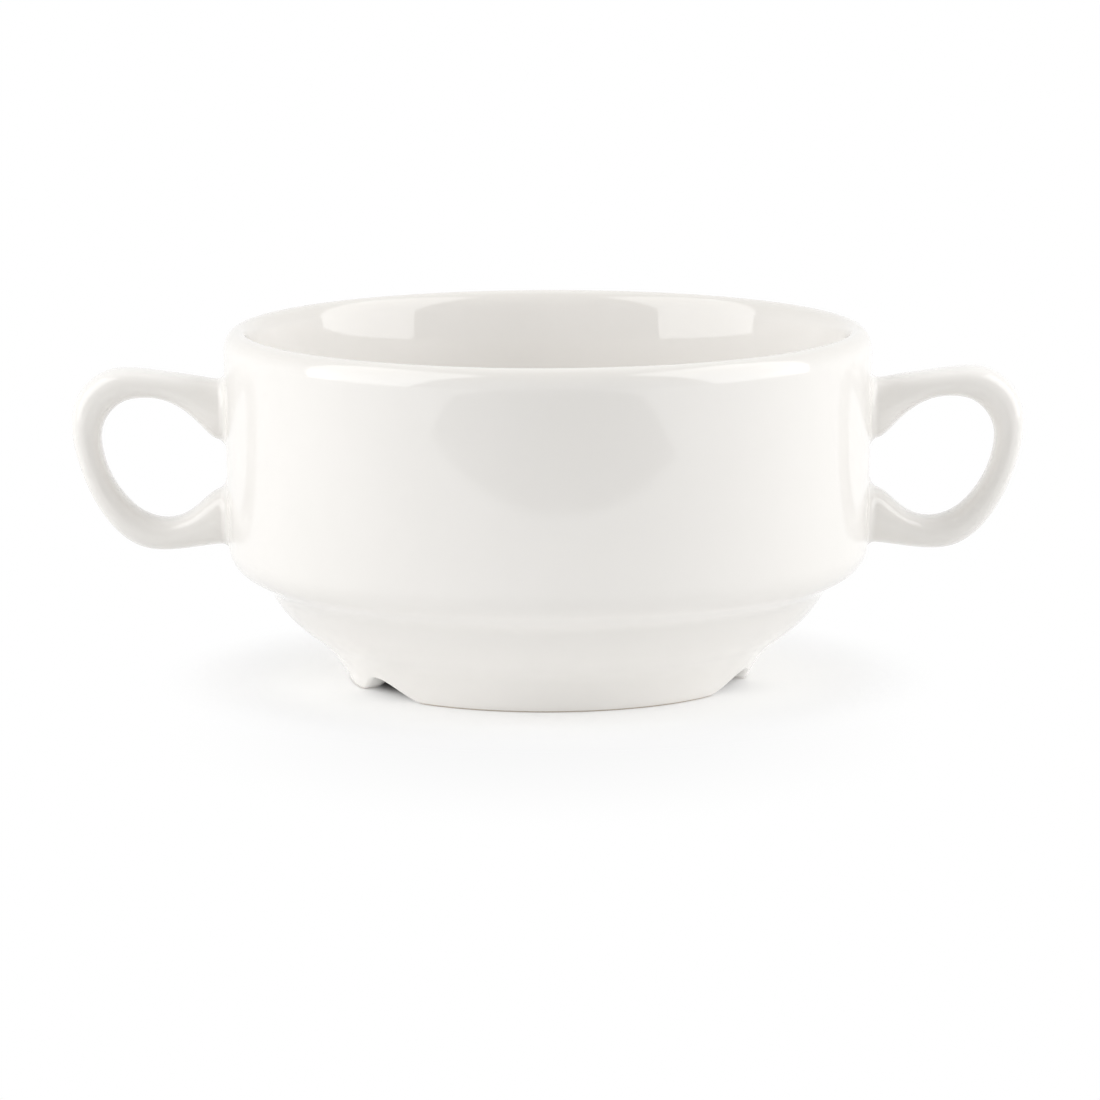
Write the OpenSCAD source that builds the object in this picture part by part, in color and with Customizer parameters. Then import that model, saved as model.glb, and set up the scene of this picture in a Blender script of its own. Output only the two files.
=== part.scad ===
// Lug soup bowl: a round stacking bowl with a stepped base, a notched foot and two strap handles.
// Millimetres, +Z up. The origin is on the bowl's axis, on the table that the foot stands on.
// The handles lie along X, and the bowl's front faces -Y.

/* [Bowl] */
// Outside diameter at the rim, where the bowl is widest
rim_d = 110; // [100:0.5:120]
// Height from the table to the top of the rim
bowl_h = 60; // [54:0.5:68]
// Width of the rim's rounding on the outside, from the crest to the widest ring
rim_out_w = 2.6; // [2.2:0.1:3]
// Drop from the crest to the widest ring on the outside
rim_out_drop = 3.7; // [3:0.1:4.5]
// Width of the rim's rounding on the inside
rim_in_w = 1.8; // [1.4:0.1:2.2]
// Drop of the rim's rounding on the inside
rim_in_drop = 2.4; // [2:0.1:3]
// Drop from the rim to where the inside wall begins to flare out
flare_drop = 16; // [12:0.5:22]
// How much nearer to the axis the wall is at the shoulder than at the rim
wall_taper = 0.5; // [0.2:0.1:1.5]
// Wall thickness at the shoulder
wall_t = 5.2; // [4.6:0.1:5.8]

/* [Shoulder and base] */
// Height where the wall turns in
shoulder_z = 23.5; // [21:0.25:26]
// Radius of the shoulder
shoulder_r = 5.7; // [5:0.1:6.5]
// Slope of the underside of the shoulder, in degrees from level
under_slope = 29; // [26:1:32]
// Width of the step from the wall in to the stacking ledge, the sharp inner corner under the shoulder
step_w = 6.75; // [6.25:0.25:7.75]
// Radius of the swelling base between the ledge and the foot
base_swell_r = 26; // [22:1:34]
// Width of the swelling base, from the ledge in to the top of the foot's sweep
base_swell_w = 7.65; // [7:0.05:8.5]
// Thickness of the base below the ledge
base_t = 5; // [4.4:0.1:5.6]
// Radius of the inside corner above the shoulder
inner_shoulder_r = 3; // [2:0.25:4]
// Thickness of the floor
floor_t = 4.8; // [4.2:0.1:5.4]

/* [Foot] */
// Height where the foot's sweep runs out into the base
foot_top_z = 7.6; // [7:0.1:8.2]
// Width of the foot's sweep, from its top in to the table
foot_sweep_w = 6.1; // [5.5:0.1:6.8]
// Radius of the foot's hollow sweep
foot_sweep_r = 15.6; // [13:0.2:22]
// Width of the ring that the foot stands on
foot_t = 3.6; // [3:0.1:4.2]
// Radius of the two edges that meet the table
foot_edge_r = 0.5; // [0.3:0.1:0.8]
// Width of a drain notch on the table
notch_w = 18; // [15:0.5:21]
// Height of a drain notch
notch_h = 3.4; // [2.8:0.1:3.6]
// Turn of the front foot segment's middle from the front, in degrees
notch_turn = 7.5; // [0:0.1:15]
// Angle between the two notches beside that segment, in degrees
notch_spread = 123.4; // [115:0.2:130]
// How much higher than the notches the hollow under the bowl is
hollow_over_notch = 0.4; // [0.4:0.1:1]
// Radius of the corner inside the foot
hollow_r = 1.5; // [1:0.1:2]
// How far the foot's inner side leans in on its way up
hollow_lean = 0.9; // [0.5:0.1:1.5]

/* [Handles] */
// Reach of a handle out from the wall
handle_reach = 26.1; // [23:0.1:29]
// Drop from the rim to a handle's highest point
handle_top_drop = 6.7; // [6:0.1:9]
// Drop from where the wall turns in to a handle's lowest point
handle_low_drop = 1.2; // [0:0.1:1.5]
// Thickness of the strap, in the plane of the handle
strap_t = 4.8; // [4.2:0.1:5.4]
// Width of the strap, across the handle
strap_w = 8.8; // [7.6:0.2:10]

/* [Slip joints] */
// Thickness of the slip between a handle's root and the wall
slip_t = 1.2; // [0.8:0.1:1.5]
// Radius of the bead that the slip makes round a root
slip_bead_r = 1.1; // [0.8:0.1:1.4]

/* [Hidden] */
$fn = 120;

glaze = [0.94, 0.93, 0.91];

// Points on a short arc, on a long or sharply bent one, and on a notch's outline
short_steps = 5;
long_steps = 12;
notch_steps = 16;

rim_r = rim_d / 2;
crest_r = rim_r - rim_out_w;
bead_z = bowl_h - rim_out_drop;
flare_z = bowl_h - flare_drop;
wall_low_r = rim_r - wall_taper;
wall_in_r = wall_low_r - wall_t;
ledge_r = wall_low_r - step_w;
foot_top = [ledge_r - base_swell_w, foot_top_z];
foot_r = foot_top[0] - foot_sweep_w;
foot_in_r = foot_r - foot_t;
hollow_h = notch_h + hollow_over_notch;
floor_z = hollow_h + floor_t;

// The wall leans out a little from the shoulder to the rim's widest ring
wall_lean = atan2(wall_taper, bead_z - shoulder_z);
shoulder_top = [wall_low_r, shoulder_z];
shoulder_centre = shoulder_top - shoulder_r * [cos(wall_lean), -sin(wall_lean)];
under_normal = [sin(under_slope), -cos(under_slope)];
shoulder_end = shoulder_centre + shoulder_r * under_normal;
ledge = [ledge_r, shoulder_end[1] - (shoulder_end[0] - ledge_r) * tan(under_slope)];

// Centre of a circle through p and q. A positive r turns left on the way from p to q, a negative one right.
function arc_centre(p, q, r) =
    let (d = q - p, l = norm(d))
    (p + q) / 2 + sign(r) * sqrt(r * r - l * l / 4) * [-d[1], d[0]] / l;

function turned(v, a) = [v[0] * cos(a) - v[1] * sin(a), v[0] * sin(a) + v[1] * cos(a)];

// The points of that arc after p, up to and with q
function arc_to(p, q, r, steps) =
    let (c = arc_centre(p, q, r), sweep = 2 * asin(norm(q - p) / (2 * r)))
    [for (i = [1:steps]) c + turned(p - c, sweep * i / steps)];

// The inside of the base follows the outside at base_t
swell_centre = arc_centre(foot_top, ledge, base_swell_r);
function inset_from(c, p, t) = p - t * (p - c) / norm(p - c);
in_ledge_low = inset_from(swell_centre, ledge, base_t);
in_foot_top = inset_from(swell_centre, foot_top, base_t);
in_ledge_high = ledge - base_t * under_normal;

// The inside corner over the shoulder touches the inside wall and the inside of the under slope
in_corner_z = in_ledge_high[1] + (wall_in_r - in_ledge_high[0]) * tan(under_slope);
corner_reach = inner_shoulder_r * tan((90 - under_slope) / 2);
in_corner_top = [wall_in_r, in_corner_z + corner_reach];
in_corner_low = [wall_in_r - corner_reach * cos(under_slope), in_corner_z - corner_reach * sin(under_slope)];

// The floor curve runs on from the inside of the base and lies down flat
in_foot_slope = atan2(foot_top[0] - swell_centre[0], swell_centre[1] - foot_top[1]);
floor_sweep_r = (in_foot_top[1] - floor_z) / (1 - cos(in_foot_slope));
floor_edge = [in_foot_top[0] - floor_sweep_r * sin(in_foot_slope), floor_z];

// The inside wall leaves the vertical at flare_z and meets the rim's rounding on its tangent
lip_start = 15;
lip_end = [crest_r - rim_in_w * cos(lip_start), bowl_h - rim_in_drop + rim_in_drop * sin(lip_start)];
flare_low = [wall_in_r, flare_z];
flare_out = lip_end[0] - wall_in_r;
flare_r = (pow(flare_out, 2) + pow(lip_end[1] - flare_z, 2)) / (2 * flare_out);

outside = concat(
    [ledge],
    [shoulder_end],
    arc_to(shoulder_end, shoulder_top, shoulder_r, long_steps),
    [for (i = [0:long_steps])
        let (a = 90 * i / long_steps)
        [crest_r + rim_out_w * cos(a), bead_z + rim_out_drop * sin(a)]]
);

inside = concat(
    [for (i = [1:long_steps])
        let (a = 90 + (90 - lip_start) * i / long_steps)
        [crest_r + rim_in_w * cos(a), bowl_h - rim_in_drop + rim_in_drop * sin(a)]],
    arc_to(lip_end, flare_low, flare_r, long_steps),
    [in_corner_top],
    arc_to(in_corner_top, in_corner_low, -inner_shoulder_r, short_steps),
    [in_ledge_high],
    arc_to(in_ledge_high, in_ledge_low, base_t, short_steps),
    arc_to(in_ledge_low, in_foot_top, base_t - base_swell_r, long_steps),
    arc_to(in_foot_top, floor_edge, -floor_sweep_r, long_steps),
    [[0, floor_z]]
);

foot_low = [foot_r, foot_edge_r];
hollow_side = foot_in_r - hollow_lean;
hollow_flat = [hollow_side - hollow_r, hollow_h];
underneath = concat(
    [[0, hollow_h]],
    [hollow_flat],
    arc_to(hollow_flat, [hollow_side, hollow_h - hollow_r], -hollow_r, short_steps),
    [[foot_in_r, foot_edge_r]],
    arc_to([foot_in_r, foot_edge_r], [foot_in_r + foot_edge_r, 0], foot_edge_r, short_steps),
    [[foot_r - foot_edge_r, 0]],
    arc_to([foot_r - foot_edge_r, 0], foot_low, foot_edge_r, short_steps),
    arc_to(foot_low, foot_top, -foot_sweep_r, long_steps),
    arc_to(foot_top, ledge, base_swell_r, long_steps)
);

// Stations along a strap, from its upper root round the finger hole to its lower root. A row holds the
// middle of the section, out from the wall and up from the handle's lowest point, as shares of the reach
// and the height, then the angle of the section in degrees. After it come the section's thickness, as a
// share of the handle's height where a root flares and of the strap's thickness elsewhere, and its width.
strap_shares = [
    [-0.105, 0.750, 90, 0.370, 0, 1.20],
    [0.085, 0.785, 90, 0.315, 0, 1.16],
    [0.225, 0.850, 91, 0.095, 0.80, 1.08],
    [0.395, 0.900, 89, 0, 1.00, 1.02],
    [0.565, 0.915, 83, 0, 1.07, 1.00],
    [0.695, 0.905, 68, 0, 1.25, 1.00],
    [0.790, 0.860, 50, 0, 1.33, 1.00],
    [0.855, 0.800, 30, 0, 1.33, 1.00],
    [0.890, 0.720, 10, 0, 1.20, 1.00],
    [0.900, 0.635, -6, 0, 1.06, 1.00],
    [0.885, 0.535, -16, 0, 0.96, 1.00],
    [0.835, 0.400, -24, 0, 0.93, 1.00],
    [0.755, 0.275, -33, 0, 1.00, 1.00],
    [0.650, 0.170, -46, 0, 1.10, 1.00],
    [0.530, 0.105, -66, 0, 1.20, 1.00],
    [0.395, 0.085, -82, 0, 1.15, 1.03],
    [0.245, 0.105, -90, 0.040, 1.00, 1.08],
    [0.095, 0.165, -92, 0.285, 0, 1.15],
    [-0.105, 0.215, -90, 0.355, 0, 1.18]
];
last_station = len(strap_shares) - 1;

// The reach is measured from the middle of the wall's taper
function wall_r_at(z) = wall_low_r + (z - shoulder_z) * tan(wall_lean);
mid_wall_r = rim_r - wall_taper / 2;
handle_z = shoulder_z - handle_low_drop;
handle_h = bowl_h - handle_top_drop - handle_z;
stations = [
    for (share = strap_shares) [
        mid_wall_r + handle_reach * share[0],
        handle_z + handle_h * share[1],
        share[2],
        handle_h * share[3] + strap_t * share[4],
        strap_w * share[5]
    ]
];

// Control rows of a smooth cubic curve that passes by every station
function control(i) =
    i < 0 ? 2 * stations[0] - stations[1] :
    i > last_station ? 2 * stations[last_station] - stations[last_station - 1] :
    i == 0 || i == last_station ? stations[i] :
    stations[i] + (stations[i] - (stations[i - 1] + stations[i + 1]) / 2) / 3;

// The row at s, which counts stations from the upper root
function station_at(s) =
    let (i = min(floor(s), last_station - 1), u = s - i)
    (pow(1 - u, 3) * control(i - 1)
        + (3 * pow(u, 3) - 6 * pow(u, 2) + 4) * control(i)
        + (-3 * pow(u, 3) + 3 * pow(u, 2) + 3 * u + 1) * control(i + 1)
        + pow(u, 3) * control(i + 2)) / 6;

// Sections are rounded a little fuller than an ellipse
fullness_share = 0.88;
function fuller(v) = sign(v) * pow(abs(v), fullness_share);
section_points = 24;
function section(row, grow) = [
    for (j = [0:section_points - 1])
        let (
            a = 360 * j / section_points,
            along = (row[3] / 2 + grow) * fuller(cos(a)),
            across = (row[4] / 2 + grow) * fuller(sin(a))
        )
        [row[0] + along * cos(row[2]), across, row[1] + along * sin(row[2])]
];

// A closed skin over a list of sections
module skin(rings) {
    n = section_points;
    last = len(rings) - 1;
    sides = [
        for (k = [0:last - 1], j = [0:n - 1])
            let (a = k * n + j, b = k * n + (j + 1) % n)
            each [[a, b, a + n], [b, b + n, a + n]]
    ];
    start_cap = [for (j = [0:n - 1]) n - 1 - j];
    end_cap = [for (j = [0:n - 1]) last * n + j];
    polyhedron([for (ring = rings) each ring], concat([start_cap], sides, [end_cap]));
}

// The bowl's outer form as a solid, grown outwards, from under the shoulder to the rim's widest ring
module core(grow) {
    side = [for (p = outside) if (p[1] <= bead_z) [p[0] + grow, p[1]]];
    rotate_extrude() polygon(concat([[0, ledge[1]]], side, [[0, bead_z]]));
}

// The bead's reach along the root at a distance d from the wall, from its full radius to nothing
function bead(d) =
    d <= 0 ? slip_bead_r :
    d >= slip_bead_r ? 0 :
    slip_bead_r - sqrt(pow(slip_bead_r, 2) - pow(slip_bead_r - d, 2));

module notch(turn) {
    half = notch_w / 2;
    reach = foot_top[0];
    outline = concat(
        [[-half, -foot_edge_r]],
        [for (i = [0:notch_steps])
            let (u = 2 * i / notch_steps - 1)
            [half * u, notch_h * (1 + cos(180 * u)) / 2]],
        [[half, -foot_edge_r]]
    );
    rotate([0, 0, turn]) rotate([90, 0, 90]) linear_extrude(reach) polygon(outline);
}

module bowl_body() {
    color(glaze) difference() {
        rotate_extrude() polygon(concat(underneath, outside, inside));
        // One notch at each end of the front foot segment, and one behind, opposite its middle
        for (turn = [-90 - notch_spread / 2, -90 + notch_spread / 2, 90])
            notch(notch_turn + turn);
    }
}

// Sections per station along a strap, and how a handle is turned to its side of the bowl
strap_steps = 4;
module strap() {
    color(glaze) difference() {
        skin([for (k = [0:last_station * strap_steps]) section(station_at(k / strap_steps), 0)]);
        core(slip_t);
    }
}

// Slip between the wall and the root that lies between station first and the next one
slip_steps = 12;
module slip_joint(first) {
    rows = [for (k = [0:slip_steps]) station_at(first + k / slip_steps)];
    color(glaze) difference() {
        intersection() {
            skin([for (row = rows) section(row, bead(row[0] - wall_r_at(row[1])))]);
            core(slip_t);
        }
        core(0);
    }
}

module right_handle() strap();
module left_handle() rotate([0, 0, 180]) strap();
module right_upper_slip_joint() slip_joint(0);
module right_lower_slip_joint() slip_joint(last_station - 1);
module left_upper_slip_joint() rotate([0, 0, 180]) slip_joint(0);
module left_lower_slip_joint() rotate([0, 0, 180]) slip_joint(last_station - 1);

bowl_body();
left_handle();
left_upper_slip_joint();
left_lower_slip_joint();
right_handle();
right_upper_slip_joint();
right_lower_slip_joint();
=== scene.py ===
import math

import bpy
from mathutils import Matrix, Vector


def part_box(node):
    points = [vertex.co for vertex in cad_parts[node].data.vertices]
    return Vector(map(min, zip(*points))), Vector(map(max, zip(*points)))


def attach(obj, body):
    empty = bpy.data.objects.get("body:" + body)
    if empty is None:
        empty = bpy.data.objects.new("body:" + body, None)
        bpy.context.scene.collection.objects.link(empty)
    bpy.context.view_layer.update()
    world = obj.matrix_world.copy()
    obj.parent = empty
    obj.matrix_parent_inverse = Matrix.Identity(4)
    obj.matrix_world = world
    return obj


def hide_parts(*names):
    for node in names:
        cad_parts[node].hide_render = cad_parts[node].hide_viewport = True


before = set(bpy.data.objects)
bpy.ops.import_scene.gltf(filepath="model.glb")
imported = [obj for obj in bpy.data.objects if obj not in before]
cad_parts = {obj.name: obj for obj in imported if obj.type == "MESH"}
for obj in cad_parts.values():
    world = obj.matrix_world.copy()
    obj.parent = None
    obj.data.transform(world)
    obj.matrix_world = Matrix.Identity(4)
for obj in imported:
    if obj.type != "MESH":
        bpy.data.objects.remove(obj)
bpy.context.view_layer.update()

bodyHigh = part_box("bowl_body")[1]
handleLow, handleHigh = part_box("right_handle")


# mesh helpers

def deselectAll():
    if bpy.context.mode != "OBJECT":
        bpy.ops.object.mode_set(mode="OBJECT")
    bpy.ops.object.select_all(action="DESELECT")


def closeAndFaceOutwards():
    bpy.ops.object.mode_set(mode="EDIT")
    bpy.ops.mesh.select_all(action="SELECT")
    bpy.ops.mesh.remove_doubles(threshold=0.000001)
    bpy.ops.mesh.normals_make_consistent(inside=False)
    bpy.ops.object.mode_set(mode="OBJECT")


def roundWithSubdivision(piece, levels):
    subdivision = piece.modifiers.new("round", "SUBSURF")
    subdivision.levels = levels
    subdivision.render_levels = levels
    bpy.ops.object.modifier_apply(modifier=subdivision.name)
    bpy.ops.object.shade_smooth()


# shader helpers

class Wire:
    # one output socket of a shader, so that masks are written as plain maths
    def __init__(self, socket):
        self.socket = socket

    @staticmethod
    def node(tree, kind, settings=None, sockets=None, output=0):
        made = tree.nodes.new(kind)
        for name, value in (settings or {}).items():
            setattr(made, name, value)
        for name, value in (sockets or {}).items():
            if isinstance(value, Wire):
                tree.links.new(value.socket, made.inputs[name])
            else:
                made.inputs[name].default_value = value
        return Wire(made.outputs[output]) if made.outputs else None

    def maths(self, operation, first, second):
        tree = self.socket.id_data
        return Wire.node(tree, "ShaderNodeMath", {"operation": operation}, {0: first, 1: second})

    def __add__(self, other):
        return self.maths("ADD", self, other)

    def __radd__(self, other):
        return self.maths("ADD", other, self)

    def __sub__(self, other):
        return self.maths("SUBTRACT", self, other)

    def __rsub__(self, other):
        return self.maths("SUBTRACT", other, self)

    def __mul__(self, other):
        return self.maths("MULTIPLY", self, other)

    def __rmul__(self, other):
        return self.maths("MULTIPLY", other, self)

    def __pow__(self, other):
        return self.maths("POWER", self, other)

    def __abs__(self):
        return self.maths("ABSOLUTE", self, 0)

    def rise(self, low, high):  # 0 below low, 1 above high, smooth between
        return Wire.node(
            self.socket.id_data, "ShaderNodeMapRange", {"interpolation_type": "SMOOTHSTEP"},
            {"Value": self, "From Min": low, "From Max": high})


def newMaterial(name):
    material = bpy.data.materials.new(name)
    material.use_nodes = True
    material.node_tree.nodes.clear()
    return material, material.node_tree


def mixColors(tree, share, first, second):
    return Wire.node(
        tree, "ShaderNodeMix", {"data_type": "RGBA"},
        {0: share, 6: first, 7: second}, output=2)


def noise(tree, place, scale, detail):
    sockets = {"Vector": place, "Scale": scale, "Detail": detail}
    return Wire.node(tree, "ShaderNodeTexNoise", sockets=sockets)


def ownPlace(tree):
    place = Wire.node(tree, "ShaderNodeTexCoord", output=3)
    axes = [Wire.node(tree, "ShaderNodeSeparateXYZ", sockets={0: place}, output=axis) for axis in range(3)]
    return place, axes


# glaze: a warm white that thins a little over edges, darker still on the rim crest as painted shade, with
# very few iron specks

glazeFinish = {
    "white": (0.871, 0.851, 0.823, 1),
    "pooled": (0.851, 0.832, 0.803, 1),  # where it lies thicker
    "thinAndShaded": (0.800, 0.777, 0.740, 1),  # where the clay shows through at an edge; on the rim crest it is also painted shade
    "speck": (0.42, 0.36, 0.27, 1),
    # the bare clay's colour is darkened to paint the contact shadow along the foot
    "bareClayAndContactShadow": (0.44, 0.37, 0.29, 1),
    "cloudScale": 28,
    "cloudRange": (0.3, 0.7),
    "speckScale": 210,
    "speckRadii": (0.0255, 0.085),  # full inside the first, gone outside the second
    "speckShare": 0.012,  # of the cells have a speck
    "speckStrength": 0.55,
    "roughness": 0.025,
    "blotchRoughness": 0.03,
    "blotchScale": 60,
    "edgeRoughness": 0.05,
    "bareRoughness": 0.75,
    "refraction": 1.6,
    "waveScale": 110,
    "waveHeight": 0.000005,
    "peelScale": 620,
    "peelHeight": 0.0000005,
    "grainScale": 5200,
    "grainHeight": 0.00003,
}


def glazeMaterial(name, edgeMask, bareAndShadowMask=None):
    material, tree = newMaterial(name)
    place, axes = ownPlace(tree)
    cloud = noise(tree, place, glazeFinish["cloudScale"], 3).rise(*glazeFinish["cloudRange"])
    color = mixColors(tree, cloud, glazeFinish["white"], glazeFinish["pooled"])
    edge = edgeMask(*axes)
    color = mixColors(tree, edge, color, glazeFinish["thinAndShaded"])

    cell = {"Vector": place, "Scale": glazeFinish["speckScale"]}
    away = Wire.node(tree, "ShaderNodeTexVoronoi", sockets=cell)
    chance = Wire.node(
        tree, "ShaderNodeSeparateColor",
        sockets={0: Wire.node(tree, "ShaderNodeTexVoronoi", sockets=cell, output=1)})
    chosen = chance.maths("LESS_THAN", chance, glazeFinish["speckShare"])
    speck = chosen * (1 - away.rise(*glazeFinish["speckRadii"]))
    color = mixColors(tree, speck * glazeFinish["speckStrength"], color, glazeFinish["speck"])

    blotch = glazeFinish["blotchRoughness"] * noise(tree, place, glazeFinish["blotchScale"], 3)
    roughness = glazeFinish["roughness"] + blotch + glazeFinish["edgeRoughness"] * edge
    waves = noise(tree, place, glazeFinish["waveScale"], 1) * glazeFinish["waveHeight"]
    peel = noise(tree, place, glazeFinish["peelScale"], 1) * glazeFinish["peelHeight"]
    height = waves + peel
    if bareAndShadowMask:
        # the bare foot takes a dark clay colour that is partly a painted contact shadow
        bareAndShadow = bareAndShadowMask(*axes)
        color = mixColors(tree, bareAndShadow, color, glazeFinish["bareClayAndContactShadow"])
        roughness = roughness + bareAndShadow * (glazeFinish["bareRoughness"] - roughness)
        grain = noise(tree, place, glazeFinish["grainScale"], 3) * glazeFinish["grainHeight"]
        height = height + bareAndShadow * grain
    normal = Wire.node(tree, "ShaderNodeBump", sockets={"Distance": 1, "Height": height})
    shader = Wire.node(tree, "ShaderNodeBsdfPrincipled", sockets={
        "Base Color": color, "Roughness": roughness, "Normal": normal, "IOR": glazeFinish["refraction"]})
    Wire.node(tree, "ShaderNodeOutputMaterial", sockets={"Surface": shader})
    return material


# bowl: one outline from the middle of the underside, round the rim, to the middle of the floor

bowlShape = {
    "rimRadius": bodyHigh.y,
    "height": bodyHigh.z,
    "columns": 128,
    "turnStep": math.radians(9),
    "longestRun": 0.004,
    "poleRadius": 0.006,
    "hollowHeight": 0.0038,  # the hollow under the bowl
    "floorHeight": 0.0086,
    "innerRadius": 0.0493,
    "ledgeHeight": 0.0165,  # the edge that sits on the bowl below in a stack
    "notchAngles": (-144.2, -20.8, 97.5),  # degrees from the right handle
    "notchHalfWidth": 0.0090,
    "notchHeight": 0.0034,
    "footRadius": 0.0338,
    "footMiddleRadius": 0.0308,  # inside this, the foot's side faces the hollow
    "footEdgeTop": 0.0006,  # the rounding of the foot's lower edge ends here
    "footOutsideTop": 0.0076,  # up to here the foot's outside is drawn up at a notch
    "rimThinFrom": 0.0030,  # this far below the top the glaze starts to thin
    "rimThinTo": 0.0006,  # and here it is as thin as it gets
    # the crest is darkened this much, partly by thinner glaze and partly as painted shade on the up-facing
    # crest
    "rimThinningAndShade": 0.85,
    "footThinHeights": (0.0001, 0.0011),
    "footThinRadii": (0.0298, 0.0304),
    "footThinning": 0.6,
    "bareHeights": (0.00016, 0.00028),  # the foot is wiped clean of glaze below these, and the bare clay there is darkened as a painted contact shadow
}

# radius, height, then where the rounding starts before the corner and ends after it
bowlCorners = [
    (bowlShape["poleRadius"], bowlShape["hollowHeight"], 0, 0),
    (0.0295, bowlShape["hollowHeight"], 0.0015, 0.0015),
    (0.03065, 0, 0.0005, 0.0005),
    (bowlShape["footRadius"], 0, 0.0005, 0.0005),
    (0.03593, 0.0050, 0.0048, 0.0048),
    (0.04495, 0.01115, 0.0060, 0.0040),
    (0.04775, bowlShape["ledgeHeight"], 0.0018, 0.0018),
    (0.05445, 0.0202, 0.0033, 0.0033),
    (bowlShape["rimRadius"] + 0.00008, bowlShape["height"], 0.0037, 0.0026),
    (bowlShape["rimRadius"] - 0.0040, bowlShape["height"], 0.0014, 0.0025),
    (bowlShape["innerRadius"], 0.05115, 0.0063, 0.0071),
    (bowlShape["innerRadius"], 0.0231, 0.0018, 0.0018),
    (0.0440, 0.0201, 0.0015, 0.0015),
    (0.04105, 0.0145, 0.0048, 0.0048),
    (0.0330, bowlShape["floorHeight"], 0.0050, 0.0050),
    (bowlShape["poleRadius"], bowlShape["floorHeight"], 0, 0),
]


def roundedPath(corners, turnStep):
    points = []
    for index, (radius, height, cutBefore, cutAfter) in enumerate(corners):
        corner = Vector((radius, height))
        if not cutBefore:
            points.append(corner)
            continue
        before = (Vector(corners[index - 1][:2]) - corner).normalized()
        after = (Vector(corners[index + 1][:2]) - corner).normalized()
        start = corner + before * cutBefore
        end = corner + after * cutAfter
        turn = math.pi - before.angle(after)
        pull = math.cos(turn / 2)
        steps = max(2, math.ceil(turn / turnStep))
        for step in range(steps + 1):
            t = step / steps
            shares = ((1 - t) ** 2, 2 * t * (1 - t) * pull, t ** 2)
            points.append((start * shares[0] + corner * shares[1] + end * shares[2]) / sum(shares))
    return points


def splitLongRuns(points, longest):
    split = [points[0]]
    for start, end in zip(points, points[1:]):
        parts = max(1, math.ceil((end - start).length / longest))
        split += [start.lerp(end, part / parts) for part in range(1, parts + 1)]
    return split


bowlOutline = roundedPath(bowlCorners, bowlShape["turnStep"])


def wallRadiusAt(height):
    top = max(range(len(bowlOutline)), key=lambda index: bowlOutline[index].y)
    for low, high in zip(bowlOutline[:top], bowlOutline[1:top + 1]):
        if low.x > bowlShape["footRadius"] and low.y <= height <= high.y:
            return low.x + (high.x - low.x) * (height - low.y) / (high.y - low.y)
    return bowlShape["rimRadius"]


def notchLift(x, y):  # how far the foot's lower edge is drawn up at this place
    for degrees in bowlShape["notchAngles"]:
        turn = math.radians(degrees)
        along = x * math.cos(turn) + y * math.sin(turn)
        across = (y * math.cos(turn) - x * math.sin(turn)) / bowlShape["notchHalfWidth"]
        if along > 0 and abs(across) < 1:
            return bowlShape["notchHeight"] * (1 + math.cos(math.pi * across)) / 2
    return 0


def pressNotches(mesh):  # the foot's outside keeps to the outline as it is drawn up
    for vertex in mesh.vertices:
        radius = math.hypot(vertex.co.x, vertex.co.y)
        isInside = radius < bowlShape["footMiddleRadius"]
        top = bowlShape["hollowHeight"] if isInside else bowlShape["footOutsideTop"]
        if vertex.co.z >= top:
            continue
        before = max(vertex.co.z, bowlShape["footEdgeTop"])
        vertex.co.z += notchLift(vertex.co.x, vertex.co.y) * (1 - vertex.co.z / top)
        if not isInside:
            after = max(vertex.co.z, bowlShape["footEdgeTop"])
            widen = wallRadiusAt(after) / wallRadiusAt(before)
            vertex.co.x *= widen
            vertex.co.y *= widen


def makeBowl():
    rings = splitLongRuns(bowlOutline, bowlShape["longestRun"])
    deselectAll()
    bpy.ops.mesh.primitive_circle_add(
        vertices=bowlShape["columns"], radius=rings[0].x, fill_type="NGON", location=(0, 0, rings[0].y))
    bowl = bpy.context.object
    bowl.name = "bowl"
    bpy.ops.object.transform_apply(location=True)
    bpy.ops.object.mode_set(mode="EDIT")
    for last, ring in zip(rings, rings[1:]):
        bpy.ops.mesh.extrude_region_move(TRANSFORM_OT_translate={"value": (0, 0, ring.y - last.y)})
        widen = ring.x / last.x
        bpy.ops.transform.resize(value=(widen, widen, 1), center_override=(0, 0, ring.y))
    closeAndFaceOutwards()
    pressNotches(bowl.data)
    roundWithSubdivision(bowl, 1)
    return bowl


def bowlEdges(x, y, z):
    radius = (x ** 2 + y ** 2) ** 0.5
    # the rim crest takes the thin colour, partly thinner glaze and partly painted shade
    rimCrest = z.rise(
        bowlShape["height"] - bowlShape["rimThinFrom"], bowlShape["height"] - bowlShape["rimThinTo"])
    footEdge = (1 - z.rise(*bowlShape["footThinHeights"])) * radius.rise(*bowlShape["footThinRadii"])
    return bowlShape["rimThinningAndShade"] * rimCrest + bowlShape["footThinning"] * footEdge


# the wiped foot, where the dark clay colour also paints the contact shadow
def bowlBareFootAndContactShadow(x, y, z):
    return 1 - z.rise(*bowlShape["bareHeights"])


# handles: a strap that leaves the wall, goes round the finger hole and comes back to the wall

handleShape = {
    "sides": 16,
    "fullness": 0.78,  # 1 is a plain oval section, less is squarer
    "thickness": 0.00488,
    "width": 0.0091,
    "wallRadius": bowlShape["rimRadius"] - 0.00025,
    "rootRounding": 0.0013,  # the rounded clay where a root meets the wall
    "rootSteps": 6,
    "rootInside": ((-0.7, 1.4), (-0.12, 1.3)),  # rings in the wall: distance and growth, in roundings
    "followWallTo": 0.006,
    "thinEdge": (0.0034, 0.0046),  # the glaze thins between these, at the strap's two edges
    "edgeThinning": 0.35,
}

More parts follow.
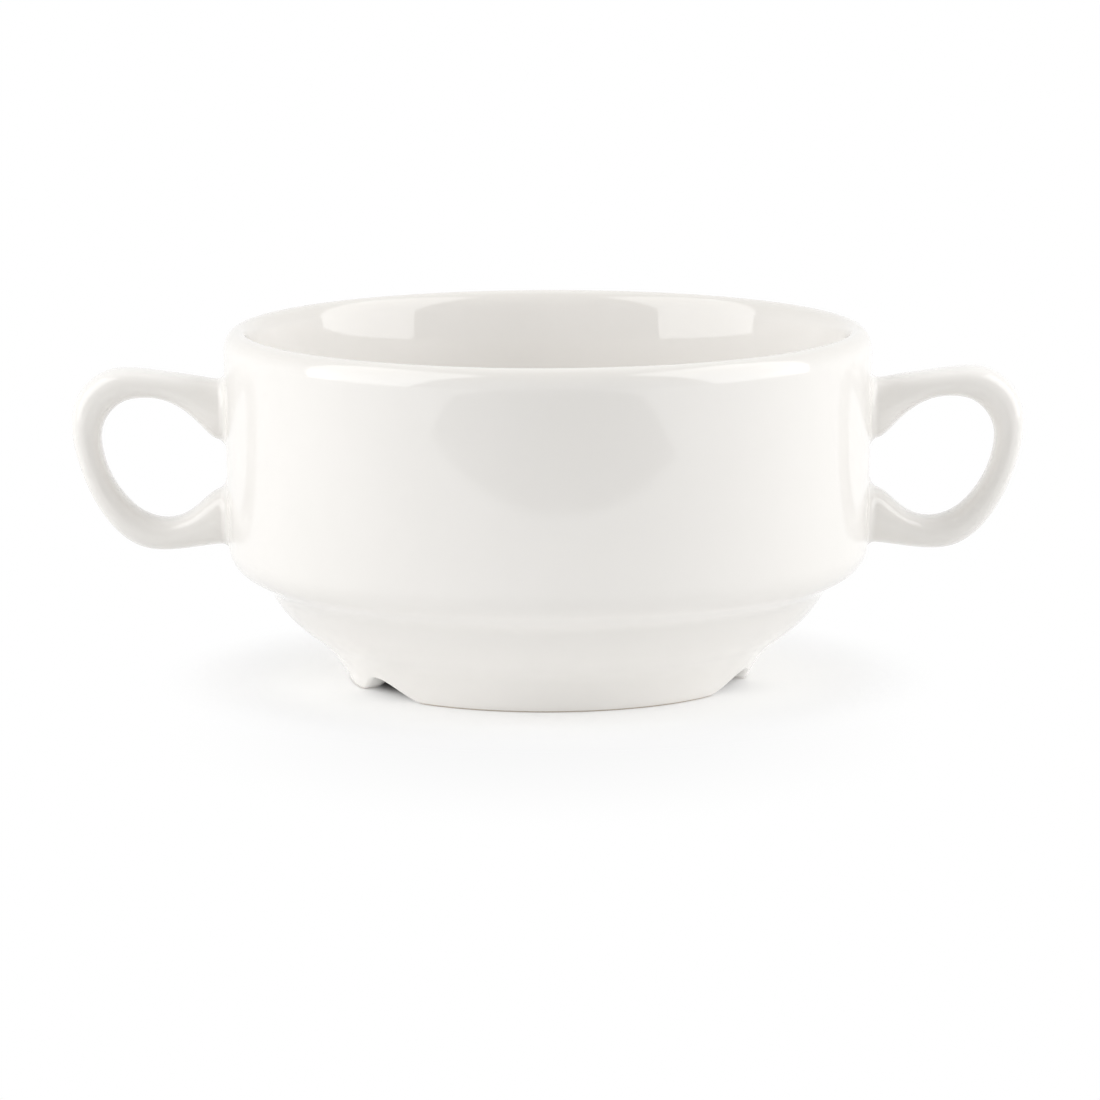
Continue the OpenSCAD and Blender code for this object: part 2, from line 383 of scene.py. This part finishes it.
# shares of the reach and the height, the angle in degrees, then the section's thickness, as a share of
# the handle's height and of the strap's thickness, and its width
strapShares = [
    (-0.105, 0.750, 90, 0.370, 0, 1.20),
    (0.085, 0.784, 90, 0.318, 0, 1.16),
    (0.225, 0.850, 91, 0.095, 0.80, 1.08),
    (0.395, 0.900, 89, 0, 1.00, 1.02),
    (0.565, 0.915, 83, 0, 1.07, 1.00),
    (0.695, 0.905, 68, 0, 1.25, 1.00),
    (0.790, 0.860, 50, 0, 1.33, 1.00),
    (0.855, 0.800, 30, 0, 1.33, 1.00),
    (0.890, 0.720, 10, 0, 1.20, 1.00),
    (0.900, 0.635, -6, 0, 1.06, 1.00),
    (0.885, 0.535, -16, 0, 0.96, 1.00),
    (0.835, 0.400, -24, 0, 0.93, 1.00),
    (0.755, 0.275, -33, 0, 1.00, 1.00),
    (0.650, 0.170, -46, 0, 1.10, 1.00),
    (0.530, 0.105, -66, 0, 1.20, 1.00),
    (0.395, 0.085, -82, 0, 1.15, 1.03),
    (0.245, 0.105, -90, 0.040, 1.00, 1.08),
    (0.095, 0.165, -92, 0.285, 0, 1.15),
    (-0.105, 0.215, -90, 0.355, 0, 1.18),
]


def strapRows():  # each is x, z, angle, thickness, width
    reach = handleHigh.x - handleShape["wallRadius"]
    height = handleHigh.z - handleLow.z
    rows = [Vector((
        handleShape["wallRadius"] + reach * out,
        handleLow.z + height * up,
        math.radians(turn),
        height * root + handleShape["thickness"] * strap,
        handleShape["width"] * width)) for out, up, turn, root, strap, width in strapShares]
    spread = [rows[0]]
    for before, row, after in zip(rows, rows[1:], rows[2:]):
        spread.append(row + (row - (before + after) / 2) / 3)  # undoes what the subdivision pulls in
    spread.append(rows[-1])
    return spread


def rootRows(wallSide, outerSide):  # from inside the wall outwards
    rounding = handleShape["rootRounding"]
    steps = handleShape["rootSteps"]
    grown = [(distance * rounding, growth * rounding) for distance, growth in handleShape["rootInside"]]
    for step in range(steps + 1):
        turn = math.radians(90) * (1 - step / steps)
        grown.append((rounding * (1 - math.sin(turn)), rounding * (1 - math.cos(turn))))
    rows = []
    for distance, growth in grown:
        share = (handleShape["wallRadius"] + distance - wallSide[0]) / (outerSide[0] - wallSide[0])
        row = wallSide.lerp(outerSide, share)
        row[3] += 2 * growth
        row[4] += 2 * growth
        rows.append(row)
    return rows


def squareUp(section):  # from a circle to a rounded oblong
    for vertex in section.vertices:
        for axis in (0, 1):
            share = abs(2 * vertex.co[axis]) ** handleShape["fullness"] / 2
            vertex.co[axis] = math.copysign(share, vertex.co[axis])


def bendToWall(mesh):  # the roots follow the round wall
    for vertex in mesh.vertices:
        away = vertex.co.x - handleShape["wallRadius"]
        if away < handleShape["followWallTo"]:
            wall = math.sqrt(wallRadiusAt(vertex.co.z) ** 2 - vertex.co.y ** 2)
            share = min(1, 1 - away / handleShape["followWallTo"])
            vertex.co.x += (wall - handleShape["wallRadius"]) * share


def makeHandle():
    rows = strapRows()
    rings = rootRows(rows[0], rows[1]) + rows[1:-1] + rootRows(rows[-1], rows[-2])[::-1]
    x, z, angle, thickness, width = rings[0]
    deselectAll()
    bpy.ops.mesh.primitive_circle_add(
        vertices=handleShape["sides"], radius=0.5, fill_type="NGON", location=(x, 0, z))
    handle = bpy.context.object
    handle.name = "right_lug"
    squareUp(handle.data)
    bpy.ops.transform.resize(value=(thickness, width, 1), center_override=(x, 0, z))
    bpy.ops.object.transform_apply(location=True, scale=True)
    bpy.ops.object.mode_set(mode="EDIT")
    bpy.ops.transform.rotate(value=angle, orient_axis="Y", center_override=(x, 0, z))
    for last, ring in zip(rings, rings[1:]):
        x, z, angle, thickness, width = ring
        bpy.ops.mesh.extrude_region_move(TRANSFORM_OT_translate={"value": (x - last[0], 0, z - last[1])})
        bpy.ops.transform.rotate(value=angle - last[2], orient_axis="Y", center_override=(x, 0, z))
        through = Vector((math.cos(angle), 0, math.sin(angle)))
        bpy.ops.transform.resize(
            value=(thickness / last[3], width / last[4], 1), center_override=(x, 0, z),
            orient_type="GLOBAL", orient_matrix_type="GLOBAL",
            orient_matrix=(through, (0, 1, 0), through.cross((0, 1, 0))))
    closeAndFaceOutwards()
    bendToWall(handle.data)
    roundWithSubdivision(handle, 2)
    return handle


def handleEdges(x, y, z):
    return handleShape["edgeThinning"] * abs(y).rise(*handleShape["thinEdge"])


# studio

studio = {
    "cameraDistance": 1.0,
    "cameraElevation": math.radians(9.42),
    "cameraAim": Vector((0.0003, 0, 0.0217)),
    "cameraRoll": math.radians(-0.15),
    "lens": 191.85,
    "sensor": 36,
    "floorSize": 8,
    "floorWhite": (0.86, 0.86, 0.855, 1),
    "floorBlotch": (0.6, 0.6, 0.6, 1),
    "blotchShare": 0.02,
    "blotchScale": 6,
    "blotchRange": (0.3, 0.7),
    "floorRoughness": 0.85,
    "blotchRoughness": 0.1,
    "floorSpecular": 0.2,
    "grainScale": 900,
    "grainHeight": 0.00002,
    "footEdge": (0.0285, 0.0342),  # the floor is neither white nor given the painted glow inside these radii
    "shadowTo": (0.036, 0.068),  # and it is plain white to the eye outside these
    "whiteShare": 0.24,  # between them it is white by this share
    "paintedFrontShadow": 0.055,  # painted shadow: the camera sees the white a little greyer in front of the foot
    "paintedFrontShadowAt": -0.045,
    "paintedFrontShadowTo": (0.020, 0.085),
    "paintedFrontShadowSqueeze": 1.3,  # the painted shadow reaches less far to the sides
    "floorGlow": 0.03,
    "paintedFootGlow": 0.21,  # painted glow: the floor around the foot glows, though no lamp is there, and lights the bowl's underside
    "seenGlow": 0.65,  # the share of the painted glow that the camera sees
    "paintedFootGlowTo": (0.037, 0.060),
    "tableFront": (-0.247, -0.243),  # in front of this the table ends and the room is dark
    "tableTurn": 0.08,
    "darkHalfWidth": (0.203, 0.207),  # and this far to each side
    "darkFloor": (0.15, 0.15, 0.15, 1),
    "darkRoom": 0.2,  # what the glaze mirrors there, where 1 is white
    "roomFront": 0.40,
    "roomBack": 0.64,
    "whiteRoom": (-0.35, 0.35),  # the glaze mirrors white behind this, with -1 in front and 1 at the back
    "softboxDistance": 0.9,
}

# azimuth from the camera's side towards +X, elevation, both with their half widths, in degrees
softboxes = {
    "left_softbox": {"azimuth": -69, "across": 28, "elevation": 33, "upAndDown": 31, "radiance": 2.03},
    "right_softbox": {"azimuth": 79.5, "across": 28.5, "elevation": 33, "upAndDown": 31, "radiance": 2.0},
}


def directionOf(azimuth, elevation):
    return Vector((
        math.sin(azimuth) * math.cos(elevation), -math.cos(azimuth) * math.cos(elevation),
        math.sin(elevation)))


def makeSoftbox(name, azimuth, across, elevation, upAndDown, radiance):
    distance = studio["softboxDistance"]
    towards = directionOf(math.radians(azimuth), math.radians(elevation))
    deselectAll()
    bpy.ops.object.light_add(type="AREA", location=towards * distance)
    softbox = bpy.context.object
    softbox.name = name
    softbox.rotation_euler = (-towards).to_track_quat("-Z", "Y").to_euler()
    softbox.data.shape = "RECTANGLE"
    softbox.data.size = 2 * distance * math.cos(math.radians(elevation)) * math.tan(math.radians(across))
    softbox.data.size_y = 2 * distance * math.tan(math.radians(upAndDown))
    softbox.data.energy = radiance * math.pi * softbox.data.size * softbox.data.size_y
    softbox.visible_camera = False


def seenRays(tree):  # these see the plain white background
    camera, glossy, transmission = [
        Wire.node(tree, "ShaderNodeLightPath", output=name)
        for name in ("Is Camera Ray", "Is Glossy Ray", "Is Transmission Ray")]
    seen = camera + glossy + transmission
    return seen.maths("MINIMUM", seen, 1), glossy


def floorMaterial():
    material, tree = newMaterial("studio floor")
    place, (x, y, z) = ownPlace(tree)
    radius = (x ** 2 + y ** 2) ** 0.5
    outside = radius.rise(*studio["footEdge"])
    whiteShare = studio["whiteShare"] + (1 - studio["whiteShare"]) * radius.rise(*studio["shadowTo"])
    seen, glossy = seenRays(tree)
    camera = Wire.node(tree, "ShaderNodeLightPath", output="Is Camera Ray")
    beyond = (1 - (y - studio["tableTurn"] * x).rise(*studio["tableFront"])) * (
        1 - abs(x).rise(*studio["darkHalfWidth"]))
    blotch = noise(tree, place, studio["blotchScale"], 3).rise(*studio["blotchRange"])
    color = mixColors(tree, studio["blotchShare"] * blotch, studio["floorWhite"], studio["floorBlotch"])
    color = mixColors(tree, beyond, color, studio["darkFloor"])
    paintedFootGlow = studio["paintedFootGlow"] * (1 - radius.rise(*studio["paintedFootGlowTo"]))
    seenShare = 1 - (1 - studio["seenGlow"]) * camera
    # painted glow around the foot, plus an even glow of the whole floor
    glow = (studio["floorGlow"] + paintedFootGlow) * outside * (1 - beyond) * seenShare
    # painted shadow of the bowl on the floor in front of the foot, seen by the camera only
    inFront = ((studio["paintedFrontShadowSqueeze"] * x) ** 2 + (y - studio["paintedFrontShadowAt"]) ** 2) ** 0.5
    paintedShadow = camera * studio["paintedFrontShadow"] * (1 - inFront.rise(*studio["paintedFrontShadowTo"]))
    bump = Wire.node(tree, "ShaderNodeBump", sockets={
        "Distance": 1, "Height": noise(tree, place, studio["grainScale"], 2) * studio["grainHeight"]})
    surface = Wire.node(tree, "ShaderNodeBsdfPrincipled", sockets={
        "Base Color": color, "Roughness": studio["floorRoughness"] + studio["blotchRoughness"] * blotch,
        "Normal": bump, "Specular IOR Level": studio["floorSpecular"],
        "Emission Color": (1, 1, 1, 1), "Emission Strength": glow})
    white = Wire.node(tree, "ShaderNodeEmission", sockets={
        "Color": (1, 1, 1, 1), "Strength": 1 - paintedShadow - glossy * beyond * (1 - studio["darkRoom"])})
    mixed = Wire.node(tree, "ShaderNodeMixShader", sockets={
        0: whiteShare * outside * seen, 1: surface, 2: white})
    Wire.node(tree, "ShaderNodeOutputMaterial", sockets={"Surface": mixed})
    return material


def makeFloor():
    deselectAll()
    bpy.ops.mesh.primitive_plane_add(size=studio["floorSize"])
    floor = bpy.context.object
    floor.name = "floor"
    floor.data.materials.append(floorMaterial())


def makeRoom():
    room = bpy.data.worlds.new("studio")
    bpy.context.scene.world = room
    room.use_nodes = True
    tree = room.node_tree
    tree.nodes.clear()
    place = Wire.node(tree, "ShaderNodeTexCoord", output=0)
    back = Wire.node(tree, "ShaderNodeSeparateXYZ", sockets={0: place}, output=1)
    seen, glossy = seenRays(tree)
    white = seen - glossy * (1 - back.rise(*studio["whiteRoom"]))
    tone = studio["roomFront"] + (studio["roomBack"] - studio["roomFront"]) * back.rise(-1, 1)
    strength = tone + white * (1 - tone)
    light = Wire.node(tree, "ShaderNodeBackground", sockets={"Color": (1, 1, 1, 1), "Strength": strength})
    Wire.node(tree, "ShaderNodeOutputWorld", sockets={"Surface": light})


def makeCamera():
    towards = directionOf(0, studio["cameraElevation"])
    deselectAll()
    bpy.ops.object.camera_add(location=studio["cameraAim"] + towards * studio["cameraDistance"])
    camera = bpy.context.object
    roll = Matrix.Rotation(studio["cameraRoll"], 3, "Z").to_quaternion()
    camera.rotation_euler = ((-towards).to_track_quat("-Z", "Y") @ roll).to_euler()
    camera.data.sensor_width = studio["sensor"]
    camera.data.lens = studio["lens"]
    camera.data.clip_end = 4 * studio["floorSize"]
    bpy.context.scene.camera = camera
    bpy.context.scene.view_settings.view_transform = "Standard"


# everything together

bowl = makeBowl()
bowl.data.materials.append(glazeMaterial("bowl glaze", bowlEdges, bowlBareFootAndContactShadow))
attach(bowl, "root")
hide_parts("bowl_body")
print("bowl made,", len(bowl.data.polygons), "faces")

rightLug = makeHandle()
rightLug.data.materials.append(glazeMaterial("handle glaze", handleEdges))
bpy.ops.object.duplicate()
leftLug = bpy.context.object
leftLug.name = "left_lug"
bpy.ops.transform.rotate(value=math.pi, orient_axis="Z", center_override=(0, 0, 0))
bpy.ops.object.transform_apply(rotation=True, location=True)
for lug, side in ((rightLug, "right"), (leftLug, "left")):
    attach(lug, "root")
    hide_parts(side + "_handle", side + "_upper_slip_joint", side + "_lower_slip_joint")
print("handles made,", len(rightLug.data.polygons), "faces each")

makeFloor()
makeRoom()
makeCamera()
for name, softbox in softboxes.items():
    makeSoftbox(name, **softbox)
print("studio made")

bpy.context.view_layer.update()
